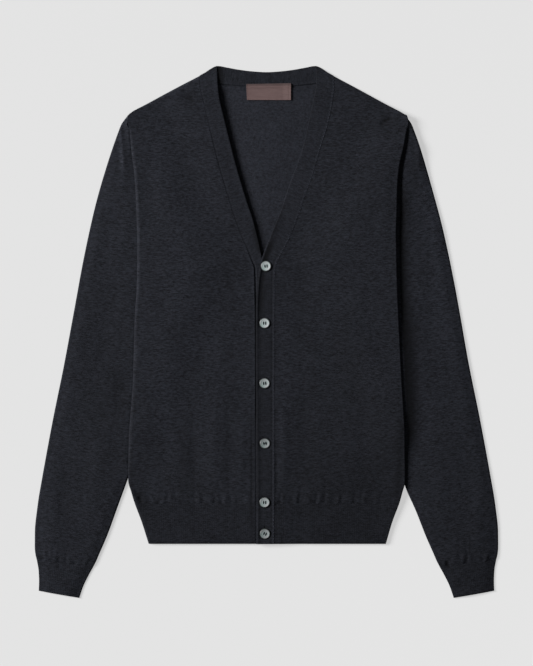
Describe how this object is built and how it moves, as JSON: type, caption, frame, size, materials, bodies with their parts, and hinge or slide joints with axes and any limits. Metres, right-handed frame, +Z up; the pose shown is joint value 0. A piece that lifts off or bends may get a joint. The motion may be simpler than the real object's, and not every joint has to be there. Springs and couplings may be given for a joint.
{
  "type": "button cardigan",
  "caption": "Long-sleeved fine-knit V-neck cardigan with ribbed bands, hem and cuffs, buttoned up and laid flat.",
  "frame": {"origin": "on the surface that it lies on, at the centre of its outline", "axes": "+X towards the wearer's left sleeve, +Y towards the neck, +Z up, off the surface"},
  "size_m": [0.66, 0.7574, 0.0105],
  "materials": {
    "knit": "matte fine-gauge melange wool",
    "rib_knit": "matte tight-knitted wool",
    "label_weave": "woven tape with a slight sheen",
    "button_pearl": "pearly gloss"
  },
  "bodies": {
    "root": {"back_panel": "knit", "front_right_panel": "knit", "front_left_panel": "knit", "hem_rib_back": "rib_knit", "hem_rib_front_right": "rib_knit", "hem_rib_front_left": "rib_knit", "band_right": "rib_knit", "band_left": "rib_knit", "band_back_neck": "rib_knit", "sleeve_right": "knit", "sleeve_left": "knit", "cuff_right": "rib_knit", "cuff_left": "rib_knit", "neck_label": "label_weave", "button_1": "button_pearl", "button_2": "button_pearl", "button_3": "button_pearl", "button_4": "button_pearl", "button_5": "button_pearl", "button_6": "button_pearl"}
  },
  "joints": []
}
